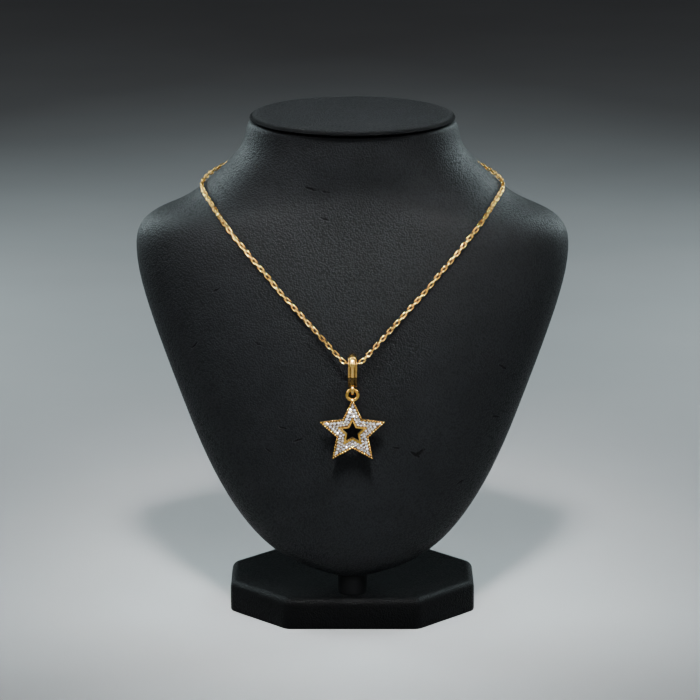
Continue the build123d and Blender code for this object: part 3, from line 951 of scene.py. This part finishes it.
def copy_to(model, places, name):
    """Copies of one model, each with its own mesh, joined into one piece."""
    copies = []
    for place in places:
        twin = model.copy()
        twin.data = model.data.copy()
        twin.data.transform(place)
        scene.collection.objects.link(twin)
        copies.append(twin)
    bpy.ops.object.select_all(action="DESELECT")
    for twin in copies:
        twin.select_set(True)
    bpy.context.view_layer.objects.active = copies[0]
    bpy.ops.object.join()
    copies[0].name = name
    bpy.data.objects.remove(model)
    return copies[0]


chain_links = copy_to(link, link_places, "chain_links")
finish_piece(chain_links, "stand", "chain_gold", chain_gold, "chain")

# %% [markdown]
# The bail is a loop of ribbed band that rides on the chain, with a half-round bead over
# its top and a ring soldered edge-on to its foot. Its section is drawn across the width
# and carried round the side view with spins and straight runs, because the raised
# flanges and the middle rib then keep their height all the way round.

# %% Side view of the bail
bail_low, bail_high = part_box("bail")
hinge = {joint["name"]: Vector(joint["pos_m"]) for joint in frame["joints"]}
PIVOT = hinge["bail_swing"]
FOOT_CENTRE = hinge["star_swing"]
BAIL_OUTSIDE = 4.1
BAIL_BORE = 2.4
ARC_DROP = 0.6 * MM
ARC_CENTRE = PIVOT + Vector((0, 0, -ARC_DROP))
CREASE_DROP = 5.15 * MM
CORNER_RADIUS = 0.5
TIP_RADIUS = 1.1
TIP_DROP = 9.8 * MM
corner_centre = ARC_CENTRE + Vector((0, -(BAIL_OUTSIDE - CORNER_RADIUS) * MM, -CREASE_DROP))
tip_centre = ARC_CENTRE + Vector((0, 0, -TIP_DROP))
run = tip_centre - corner_centre
slope = math.atan2(run.y, -run.z) - math.asin((TIP_RADIUS - CORNER_RADIUS) * MM / run.length)
taper_length = math.sqrt(run.length ** 2 - ((TIP_RADIUS - CORNER_RADIUS) * MM) ** 2)
print("the bail's sides turn in by", round(math.degrees(slope), 2), "degrees")

# %% Section across the band
# Across, outwards from the base surface: rounded flange, groove, rounded middle rib
BAND_SECTION = [
    (2.20, -0.22), (2.192, -0.06), (2.15, 0.07), (2.07, 0.17), (1.94, 0.232), (1.79, 0.25),
    (1.63, 0.232), (1.48, 0.17), (1.37, 0.07), (1.30, -0.05), (1.25, -0.18), (1.19, -0.26),
    (1.10, -0.29), (1.01, -0.26), (0.95, -0.17), (0.89, -0.03), (0.79, 0.08), (0.64, 0.165),
    (0.44, 0.22), (0.22, 0.238), (0.0, 0.24),
]
BAND_SECTION = BAND_SECTION + [(-x, rise) for x, rise in reversed(BAND_SECTION[:-1])]
top_line = [ARC_CENTRE + Vector((x, 0, BAIL_OUTSIDE + rise)) * MM for x, rise in BAND_SECTION]
print("section of", len(top_line), "points")

# %% Band of the bail
X_AXIS = (1, 0, 0)


def spin_front(angle, centre, steps):
    """Carries the picked line round towards the front and down."""
    bpy.ops.mesh.spin(steps=steps, angle=-angle, center=centre, axis=X_AXIS)


def run_down(direction, length, steps):
    """Carries the picked line straight on, in even steps."""
    for _ in range(steps):
        extrude_edges(direction * (length / steps))


def mirror_back():
    """Copies the front half over to the back."""
    bpy.ops.mesh.select_all(action="SELECT")
    bpy.ops.mesh.duplicate()
    bpy.ops.transform.resize(value=(1, -1, 1), center_override=PIVOT)


down = Vector((0, 0, -1))
inwards = Vector((0, math.sin(slope), -math.cos(slope)))
bail_band = draw("bail_band", top_line)
spin_front(math.pi / 2, ARC_CENTRE, 14)
run_down(down, CREASE_DROP, 2)
spin_front(slope, corner_centre, 4)
run_down(inwards, taper_length, 2)
spin_front(math.pi / 2 - slope, tip_centre, 6)
mirror_back()
merge_doubles(2 * SAME_POINT)
for side in (-1, 1):
    pick(bail_band, "EDGE", lambda e: len(e.link_faces) == 1 and side * e.verts[0].co.x > 0)
    bpy.ops.mesh.edge_face_add()
close_up()
print("band", in_mm(bail_band.dimensions), "mm, CAD", in_mm(bail_high - bail_low))

# %% [markdown]
# The bead is a round bar bent over the arch, half sunk in the band, with its two ends
# rounded off. A circle is spun to the front and to the back, and each open end is drawn
# out in smaller and smaller rings.

# %% Half-round bead over the top
BEAD_RADIUS = 1.85 * MM
BEAD_HALF_TURN = math.radians(70)


def circle_points(centre, radius, first, second, count):
    """Points round a circle in the plane of two directions."""
    turns = [math.tau * step / count for step in range(count)]
    return [centre + (Vector(first) * math.cos(a) + Vector(second) * math.sin(a)) * radius for a in turns]


def round_end(centre, direction, radius, steps):
    """Closes the picked loop with half a ball, ring by ring."""
    turns = [math.pi / 2 * step / steps for step in range(steps + 1)]
    for last, turn in zip(turns, turns[1:-1]):
        rise = radius * (math.sin(turn) - math.sin(last))
        extrude_edges(direction * rise)
        smaller = math.cos(turn) / math.cos(last)
        ring_centre = centre + direction * radius * math.sin(turn)
        bpy.ops.transform.resize(value=(smaller,) * 3, center_override=ring_centre)
    extrude_edges(direction * radius * (1 - math.sin(turns[-2])))
    bpy.ops.mesh.merge(type="CENTER")


bead_top = ARC_CENTRE + Vector((0, 0, BAIL_OUTSIDE * MM))
bead_section = circle_points(bead_top, BEAD_RADIUS, (1, 0, 0), (0, 0, 1), 28)
bail_bead = draw("bail_bead", bead_section, closed=True)
spin_front(BEAD_HALF_TURN, ARC_CENTRE, 10)
pick(bail_bead, "VERT", lambda v: abs(v.co.y - ARC_CENTRE.y) < NEAR)
spin_front(-BEAD_HALF_TURN, ARC_CENTRE, 10)
merge_doubles()
for side in (-1, 1):
    end = Vector((0, side * math.sin(BEAD_HALF_TURN), math.cos(BEAD_HALF_TURN)))
    onwards = Vector((0, side * math.cos(BEAD_HALF_TURN), -math.sin(BEAD_HALF_TURN)))
    pick(bail_bead, "EDGE", lambda e: len(e.link_faces) == 1 and side * (e.verts[0].co.y - ARC_CENTRE.y) > 0)
    round_end(ARC_CENTRE + end * BAIL_OUTSIDE * MM, onwards, BEAD_RADIUS, 7)
close_up()
print("bead", in_mm(bail_bead.dimensions), "mm")

# %% [markdown]
# The opening is the side view drawn in by the metal's thickness: half a circle over two
# straight sides that meet in a point. Its ends are drawn out wider, which gives the bail
# a flared mouth, and the whole bar is cut away. The ring at the foot is joined on last.

# %% Opening through the bail
ARCH_STEPS = 18
STRAIGHT_HALF = 1.98
AT_THE_END = 0.9
FLARE_LENGTH = 0.45 * MM
FLARE = (1, 1.18, 1.09)
FLARE_DROP = 3.0 * MM
inner_reach = ((BAIL_OUTSIDE - CORNER_RADIUS) * math.cos(slope) + CREASE_DROP / MM * math.sin(slope)
               + CORNER_RADIUS - (BAIL_OUTSIDE - BAIL_BORE))
inner_corner = (inner_reach - BAIL_BORE * math.cos(slope)) / math.sin(slope)
inner_tip = inner_reach / math.sin(slope)
arch_turns = [math.pi * step / ARCH_STEPS for step in range(ARCH_STEPS + 1)]
side_view = [(BAIL_BORE * math.cos(turn), BAIL_BORE * math.sin(turn)) for turn in arch_turns]
side_view += [(-BAIL_BORE, -inner_corner), (0, -inner_tip), (BAIL_BORE, -inner_corner)]
opening_outline = [ARC_CENTRE + Vector((-STRAIGHT_HALF, y, z)) * MM for y, z in side_view]
opening = draw("bail_opening", opening_outline, closed=True)
bpy.ops.mesh.edge_face_add()
extrude((2 * STRAIGHT_HALF * MM, 0, 0))
opening_middle = ARC_CENTRE + Vector((0, 0, -FLARE_DROP))
for side in (-1, 1):
    pick(opening, "FACE", lambda f: all(side * v.co.x > AT_THE_END * STRAIGHT_HALF * MM for v in f.verts))
    extrude((side * FLARE_LENGTH, 0, 0))
    bpy.ops.transform.resize(value=FLARE, center_override=opening_middle)
close_up()

# %% Ring at the foot
FOOT_RING = 1.85 * MM
FOOT_WIRE = 1.6 * MM
foot_ring = add_ring(40, 16, FOOT_RING, FOOT_WIRE, FOOT_CENTRE, (0, math.pi / 2, 0))
cut_away(bail_band, bail_bead, "bead", "UNION")
cut_away(bail_band, opening)
cut_away(bail_band, foot_ring, "foot_ring", "UNION")
bail_band.name = "bail_loop"
smooth_below(32)
finish_piece(bail_band, "bail", "bail_gold", bail_gold, "bail")
print("bail", in_mm(bail_band.dimensions), "mm")

# %% [markdown]
# The star is built flat, facing up, and then stood upright where it hangs. All its
# outlines are the same star drawn in by different amounts, so one function gives the
# corners for any inset, and the same corners place the beads and the stones.

# %% Star outlines
STAR_RADIUS = 17.0
STAR_NOTCH = 8.25
STAR_RING = 2.63
STAR_DROP = 18.7
STAR_CENTRE = FOOT_CENTRE - Vector((0, 0, (STAR_RING + STAR_DROP) * MM))
STAND_UP = Matrix.Translation(STAR_CENTRE) @ Matrix.Rotation(math.pi / 2, 4, "X")
tip_lean = math.atan2(STAR_NOTCH * math.sin(math.pi / 5), STAR_RADIUS - STAR_NOTCH * math.cos(math.pi / 5))


def star_radii(inset):
    """Radius of the tips and of the notches of the star drawn in by the inset."""
    return (STAR_RADIUS - inset / math.sin(tip_lean), STAR_NOTCH - inset / math.sin(tip_lean + math.pi / 5))


def star_corners(inset):
    tip, notch = star_radii(inset)
    turns = [math.radians(90 + 36 * corner) for corner in range(10)]
    return [Vector((math.cos(a), math.sin(a), 0)) * (notch if corner % 2 else tip)
            for corner, a in enumerate(turns)]


def along_edges(corners):
    return zip(corners, corners[1:] + corners[:1])


first_tip, first_notch = star_corners(0)[:2]
print("tips and notches at", [round(radius, 2) for radius in star_radii(0)], "mm from the middle")
print("an edge of the star is", round((first_notch - first_tip).length, 2), "mm long")

# %% [markdown]
# The plate starts as a ten-sided disc whose every other corner is drawn in. Insets give
# the foot of the raised rim and its opening, extrusion gives the heights, and bevels
# soften every edge that a polisher's wheel would reach.

# %% Star plate
PLATE_INSET = 0.25
RIM_INSET = 3.95
OPENING_INSET = 4.85
PLATE_BACK = -0.9 * MM
PLATE_FRONT = 0.6 * MM
RIM_TOP = 1.2 * MM
BACK_BAND = 0.6
tip_radius, notch_radius = star_radii(PLATE_INSET)
bpy.ops.mesh.primitive_circle_add(vertices=10, radius=tip_radius * MM, fill_type="NGON",
                                  location=(0, 0, PLATE_BACK))
star_plate = just_added("star_plate")
start_editing(star_plate)


def is_notch(vertex):
    return round((math.degrees(math.atan2(vertex.co.y, vertex.co.x)) - 90) / 36) % 2 == 1


pick(star_plate, "VERT", is_notch)
bpy.ops.transform.resize(value=(notch_radius / tip_radius,) * 2 + (1,), center_override=(0, 0, PLATE_BACK))
bpy.ops.mesh.select_all(action="SELECT")
extrude((0, 0, PLATE_FRONT - PLATE_BACK))
bpy.ops.mesh.select_all(action="SELECT")
bpy.ops.mesh.normals_make_consistent(inside=False)
opening_tip = star_radii(OPENING_INSET)[0] * MM


def near_middle(face):
    return max(v.co.xy.length for v in face.verts) < opening_tip * 1.001


for height, first_inset, rise in ((PLATE_FRONT, RIM_INSET - PLATE_INSET, RIM_TOP - PLATE_FRONT),
                                  (PLATE_BACK, OPENING_INSET - PLATE_INSET - BACK_BAND, 0)):
    pick(star_plate, "FACE", all_at(height))
    bpy.ops.mesh.inset(thickness=first_inset * MM)
    if rise:
        extrude((0, 0, rise))
    bpy.ops.mesh.inset(thickness=(OPENING_INSET - PLATE_INSET - first_inset) * MM)
pick(star_plate, "FACE", lambda f: len(f.verts) == 10 and near_middle(f))
bpy.ops.mesh.delete(type="ONLY_FACE")
pick(star_plate, "EDGE", lambda e: len(e.link_faces) == 1)
bpy.ops.mesh.bridge_edge_loops()

# %% Soft edges of the plate


def bevel_outline(height, inset, width, segments):
    """Bevels the closed outline at this height that lies in by this inset."""
    tip, notch = (r * MM for r in star_radii(inset))

    def on_outline(vertex):
        off_outline = min(abs(vertex.co.xy.length - radius) for radius in (tip, notch))
        return abs(vertex.co.z - height) < NEAR and off_outline < 2 * NEAR

    count = pick(star_plate, "EDGE", lambda e: all(on_outline(v) for v in e.verts))
    bpy.ops.mesh.bevel(offset=width * MM, segments=segments, affect="EDGES")
    return count


# Height and inset of each outline, and width and steps of its bevel
OUTLINE_BEVELS = [
    (RIM_TOP, RIM_INSET, 0.09, 3), (RIM_TOP, OPENING_INSET, 0.09, 3),
    (PLATE_FRONT, PLATE_INSET, 0.18, 2), (PLATE_BACK, PLATE_INSET, 0.25, 3),
    (PLATE_BACK, OPENING_INSET, 0.15, 2),
]
bevelled = [bevel_outline(*outline) for outline in OUTLINE_BEVELS]
stop_editing()
print("edges bevelled", bevelled, "and the plate is", in_mm(star_plate.dimensions), "mm")

# %% [markdown]
# The stones sit in two rows that follow the outline, with a small one more in each tip.
# Every seat is drilled with a bit whose shape is the stone's own: a short straight
# wall for the girdle and a cone under it. The bits of one size are cut away in one go.
# A finer bit opens the back behind each stone of the two rows, as setters do to let
# light in and dirt out.

# %% Places of the stones
STONE_GAP = 0.11
# Inset of a row, size of its stones, and how many go along an edge after the one in the tip
OUTER_ROW = (1.790, 1.50, 4)
INNER_ROW = (3.265, 1.25, 3)
TIP_STONE = 0.70
TIP_STONE_RADIUS = 14.0


def first_share(tip, edge, stone):
    """Share of the edge between the stone in the tip and the first one beside it."""
    return (stone + STONE_GAP) / 2 / math.sin(edge.angle(-tip)) / edge.length


def row_places(inset, stone, steps):
    """Middles of a row's stones: one in each tip and notch, and steps between them."""
    corners = star_corners(inset)
    places = []
    for corner in range(0, 10, 2):
        tip = corners[corner]
        places += [tip, corners[corner + 1]]
        for notch in (corners[corner - 1], corners[corner + 1]):
            edge = notch - tip
            first = first_share(tip, edge, stone)
            places += [tip + edge * (first + (1 - first) * step / steps) for step in range(steps)]
    return places


stone_places = {
    OUTER_ROW[1]: row_places(*OUTER_ROW),
    INNER_ROW[1]: row_places(*INNER_ROW),
    TIP_STONE: [corner.normalized() * TIP_STONE_RADIUS for corner in star_corners(0)[::2]],
}
print({size: len(places) for size, places in stone_places.items()}, "stones by diameter in mm")

# %% Seats
GIRDLE_LIFT = 0.12
PAVILION = 0.43
SEAT_FIT = 0.05
BIT_POINT = 0.12 * MM
BIT_WALL = 0.5 * MM


def drill(size):
    """A setting bit for a stone of this diameter, its girdle plane at height 0."""
    radius = (size / 2 + SEAT_FIT) * MM
    deep = PAVILION * size * MM
    bpy.ops.mesh.primitive_cone_add(vertices=20, radius1=BIT_POINT, radius2=radius, depth=deep,
                                    location=(0, 0, -deep / 2))
    bit = just_added()
    start_editing(bit)
    pick(bit, "FACE", all_at(0))
    extrude((0, 0, BIT_WALL))
    stop_editing()
    return bit


def at_height(places, height):
    return [Matrix.Translation(place * MM + Vector((0, 0, height))) for place in places]


girdle_height = PLATE_FRONT + GIRDLE_LIFT * MM
for size, places in stone_places.items():
    bits = copy_to(drill(size), at_height(places, girdle_height), "bits")
    cut_away(star_plate, bits, "seats")

# %% Openings behind the stones
AZURE_OUTSIDE = 0.30
AZURE_INSIDE = 0.18
AZURE_DEPTH = 0.6 * MM
AZURE_MIDDLE = 0.1 * MM


def azure(size):
    """A tapered bit for the back of a stone's seat."""
    bpy.ops.mesh.primitive_cone_add(vertices=16, radius1=size * AZURE_OUTSIDE * MM,
                                    radius2=size * AZURE_INSIDE * MM, depth=AZURE_DEPTH,
                                    location=(0, 0, AZURE_MIDDLE))
    return just_added()


for size, places in stone_places.items():
    if size > TIP_STONE:
        bits = copy_to(azure(size), at_height(places, PLATE_BACK), "bits")
        cut_away(star_plate, bits, "azures")
print("plate with seats has", triangles(star_plate), "triangles")

# %% Hanging ring
STAR_WIRE = 1.74 * MM
hanging_ring = add_ring(48, 18, STAR_RING * MM, STAR_WIRE, (0, STAR_DROP * MM, 0))
cut_away(star_plate, hanging_ring, "ring", "UNION")
star_plate.data.transform(STAND_UP)
smooth_below(32)
finish_piece(star_plate, "star", "star_gold", star_gold, "star_setting")

# %% [markdown]
# The ground between the stones and the beads gets a dark brown gold as painted shade.
# Its faces are found by their depth, below the foot of the hanging ring.

# %% Painted shade on the ground of the star
RING_BEGINS = 15.6 * MM
AHEAD_OF_FACE = 0.01 * MM
KEPT_BRIGHT = 0.3 * MM
star_plate.data.materials.append(painted_shade_gold)
ring_foot = STAR_CENTRE.z + RING_BEGINS
back = STAR_CENTRE.y - PLATE_BACK
front = STAR_CENTRE.y - PLATE_FRONT
for face in star_plate.data.polygons:
    if front - AHEAD_OF_FACE < face.center.y < back - KEPT_BRIGHT and face.center.z < ring_foot:
        face.material_index = 1
print("faces of the brown ground", sum(face.material_index for face in star_plate.data.polygons))
print("star", in_mm(star_plate.dimensions), "mm")

# %% [markdown]
# The beaded border, or milgrain, is a row of tiny balls rolled along the edge. One
# ball is modelled and its sunk part cut off, and copies go round the outline, eight
# to an edge. The prongs between the stones are smaller raised beads of the same kind.

# %% Beaded border
GRAIN_INSET = 0.47
GRAINS_PER_EDGE = 8
GRAIN_RADIUS = 0.5 * MM
GRAIN_SUNK = 0.25 * MM


def half_ball(radius, height, sunk, subdivisions):
    """A ball of metal with the part that lies in the plate cut off."""
    bpy.ops.mesh.primitive_ico_sphere_add(subdivisions=subdivisions, radius=radius)
    ball = bpy.context.active_object
    start_editing(ball)
    bpy.ops.mesh.select_all(action="SELECT")
    bpy.ops.mesh.bisect(plane_co=(0, 0, -sunk), plane_no=(0, 0, 1), clear_inner=True, use_fill=True)
    bpy.ops.mesh.select_all(action="SELECT")
    bpy.ops.transform.resize(value=(1, 1, height / radius))
    stop_editing()
    smooth_below(40)
    return ball


grain_places = [start + (end - start) * (step / GRAINS_PER_EDGE)
                for start, end in along_edges(star_corners(GRAIN_INSET)) for step in range(GRAINS_PER_EDGE)]
places = [STAND_UP @ place for place in at_height(grain_places, PLATE_FRONT)]
beaded_border = copy_to(half_ball(GRAIN_RADIUS, GRAIN_RADIUS, GRAIN_SUNK, 3), places, "beaded_border")
finish_piece(beaded_border, "star", "star_gold", star_gold, "star_setting")

# %% Prongs between the stones
PRONG_RADIUS = 0.17 * MM
PRONG_HEIGHT = 0.30 * MM
PRONG_SUNK = 0.02 * MM
PRONG_ASIDE = 0.36


def prong_places(inset, stone, steps):
    """Places beside each gap between neighbours of a row, one on either side."""
    corners = star_corners(inset)
    places = []
    for corner in range(0, 10, 2):
        tip = corners[corner]
        for notch in (corners[corner - 1], corners[corner + 1]):
            edge = notch - tip
            across = Vector((-edge.y, edge.x, 0)).normalized() * stone * PRONG_ASIDE
            first = first_share(tip, edge, stone)
            gap = (1 - first) / steps
            for step in range(steps):
                between = tip + edge * (first + gap * (step + 0.5))
                places += [between + across, between - across]
    return places


prongs_at = prong_places(*OUTER_ROW) + prong_places(*INNER_ROW)
places = [STAND_UP @ place for place in at_height(prongs_at, PLATE_FRONT)]
stone_prongs = copy_to(half_ball(PRONG_RADIUS, PRONG_HEIGHT, PRONG_SUNK, 2), places, "stone_prongs")
finish_piece(stone_prongs, "star", "star_gold", star_gold, "star_setting")

# %% [markdown]
# A round brilliant has a flat table, a crown of stars, kites and small triangles down to
# a thin girdle, and a pointed pavilion below. Its corners all lie on a few circles, so
# the circles are added as rings of points and the convex hull draws every facet between
# them. The radii are chosen so that each kite comes out flat.

# %% One cut stone
TABLE = 0.56
CROWN = 0.30
GIRDLE = 0.05
STAR_RING_AT = 0.78
LOWER_RING_AT = 0.24
CULET = 0.02
DEEP = 2 * PAVILION
HALF_STEP = math.radians(22.5)
FLAT = math.radians(1.5)


def crown_height(radius):
    return GIRDLE + CROWN * (1 - radius) / (1 - TABLE)


def cut_stone():
    """A brilliant of radius 1, its girdle's underside at height 0."""
    kite_side = STAR_RING_AT * math.cos(HALF_STEP)
    main_side = LOWER_RING_AT * math.cos(HALF_STEP)
    rings = [(8, TABLE, crown_height(TABLE), 0), (8, STAR_RING_AT, crown_height(kite_side), HALF_STEP),
             (16, 1.0, GIRDLE, 0), (16, 1.0, 0.0, 0), (8, LOWER_RING_AT, -DEEP * (1 - main_side), HALF_STEP),
             (8, CULET, -DEEP * (1 - CULET), 0)]
    pieces = []
    for count, radius, height, turn in rings:
        bpy.ops.mesh.primitive_circle_add(vertices=count, radius=radius, location=(0, 0, height),
                                          rotation=(0, 0, turn))
        pieces.append(just_added())
    for piece in pieces:
        piece.select_set(True)
    bpy.context.view_layer.objects.active = pieces[0]
    bpy.ops.object.join()
    bpy.ops.object.mode_set(mode="EDIT")
    bpy.ops.mesh.select_all(action="SELECT")
    bpy.ops.mesh.convex_hull(join_triangles=True, face_threshold=FLAT, shape_threshold=FLAT)
    bpy.ops.mesh.select_all(action="SELECT")
    bpy.ops.mesh.normals_make_consistent(inside=False)
    stop_editing()
    bpy.ops.object.shade_flat()
    return pieces[0]


brilliant = cut_stone()
print("a stone has", len(brilliant.data.polygons), "facets")

# %% Stones in their seats
LEAN = 4
turning = random.Random(5)


def small_lean(axis):
    """A turn of a few degrees at random, as a stone set by hand has."""
    return Matrix.Rotation(math.radians(turning.uniform(-LEAN, LEAN)), 4, axis)


settled = []
for size, places in stone_places.items():
    girdle = GIRDLE * size / 2 * MM
    for place in at_height(places, girdle_height - girdle / 2):
        lean = small_lean("X") @ small_lean("Y")
        turned = Matrix.Rotation(turning.uniform(0, math.tau), 4, "Z")
        settled.append(STAND_UP @ place @ lean @ turned @ Matrix.Scale(size / 2 * MM, 4))
cut_stones = copy_to(brilliant, settled, "cut_stones")

# %% [markdown]
# The stones are clear and colourless, and foiled by the bright metal under them, so at
# this size they read as white sparks with grey and faintly warm facets between. An
# index near a diamond's splits the light, and a part of mirror stands for the light that
# a deep pavilion throws back. Cells of different tints in the base colour, about a third
# of a stone across, are painted sparks and dark reflections: the flicker of its facets.

# %% Stone finish
# Painted sparks and reflections: dark, grey, white and warm cells in the base colour
SPARK_TINTS = [
    (0.0, (0.02, 0.02, 0.02)), (0.22, (0.07, 0.07, 0.08)), (0.38, (0.34, 0.36, 0.43)),
    (0.54, (0.84, 0.85, 0.88)), (0.84, (0.82, 0.74, 0.64)),
]
clear = Recipe("clear_stone")
clear.set(Roughness=0.03, IOR=2.1, Transmission_Weight=0.10, Metallic=0.30, Specular_IOR_Level=0.8)
sparks = clear.add("ShaderNodeTexVoronoi", {"Vector": clear.place, "Scale": 2300.0}, feature="F1")
spark = clear.add("ShaderNodeSeparateColor", {"Color": sparks.outputs["Color"]}).outputs[0]
clear.link(clear.ramp(spark, SPARK_TINTS), "Base Color")
finish_piece(cut_stones, "star", "stones", clear.material, "stones")

# %% [markdown]
# The clasp hides at the nape. It is a small box clasp: a rounded case, a tongue plate
# that slides into it with a fine joint between them, and a ring at each end for the
# chain. It keeps the size and place of the CAD solid.

# %% Clasp
clasp_middle, clasp_size = middle("clasp")
EYE = 1.05 * MM
EYE_WIRE = 0.62 * MM
CASE_LENGTH = clasp_size.x - 2 * (2 * EYE + EYE_WIRE) + 2 * (EYE + EYE_WIRE / 2)
JOINT_AT = 0.22
JOINT_WIDTH = 0.12 * MM
# Height, thickness, rounding of the corners, and rounding of the edges of the two faces
CASE_FORM = (3.2 * MM, 1.2 * MM, 0.8 * MM, 0.3 * MM)
CORE_FORM = (1.9 * MM, 0.6 * MM, 0.2 * MM, 0.1 * MM)
CORE_HALF = 1.0 * MM


def rounded_bar(name, left, right, height, thickness, corner, edge_round):
    """A bar along X with rounded corners and softened faces."""
    place = clasp_middle + Vector(((left + right) / 2, 0, 0))
    bpy.ops.mesh.primitive_cube_add(size=1, location=place, scale=(right - left, thickness, height))
    bar = just_added(name)
    start_editing(bar)
    pick(bar, "EDGE", lambda e: abs(e.verts[0].co.y - e.verts[1].co.y) > thickness / 2)
    bpy.ops.mesh.bevel(offset=corner, segments=5, affect="EDGES")
    pick(bar, "FACE", lambda f: abs(f.normal.y) > 0.99)
    bpy.ops.mesh.region_to_loop()
    bpy.ops.mesh.bevel(offset=edge_round, segments=3, affect="EDGES")
    stop_editing()
    return bar


half_case = CASE_LENGTH / 2
joint_x = CASE_LENGTH * JOINT_AT
eye_reach = clasp_size.x / 2 - EYE - EYE_WIRE / 2
clasp_parts = [
    rounded_bar("clasp_box", -half_case, joint_x, *CASE_FORM),
    rounded_bar("clasp_tongue", joint_x + JOINT_WIDTH, half_case, *CASE_FORM),
    rounded_bar("clasp_core", joint_x - CORE_HALF, joint_x + CORE_HALF, *CORE_FORM),
]
for side in (-1, 1):
    eye_place = clasp_middle + Vector((side * eye_reach, 0, 0))
    clasp_parts.append(add_ring(28, 12, EYE, EYE_WIRE, eye_place, (math.pi / 2, 0, 0)))
box_clasp = clasp_parts[0]
for part in clasp_parts[1:]:
    cut_away(box_clasp, part, "join", "UNION")
box_clasp.name = "box_clasp"
smooth_below(32)
finish_piece(box_clasp, "stand", "clasp_gold", clasp_gold, "clasp")
print("clasp", in_mm(box_clasp.dimensions), "mm")

# %% [markdown]
# At the end nothing is left selected.

# %% Finish
bpy.ops.object.select_all(action="DESELECT")
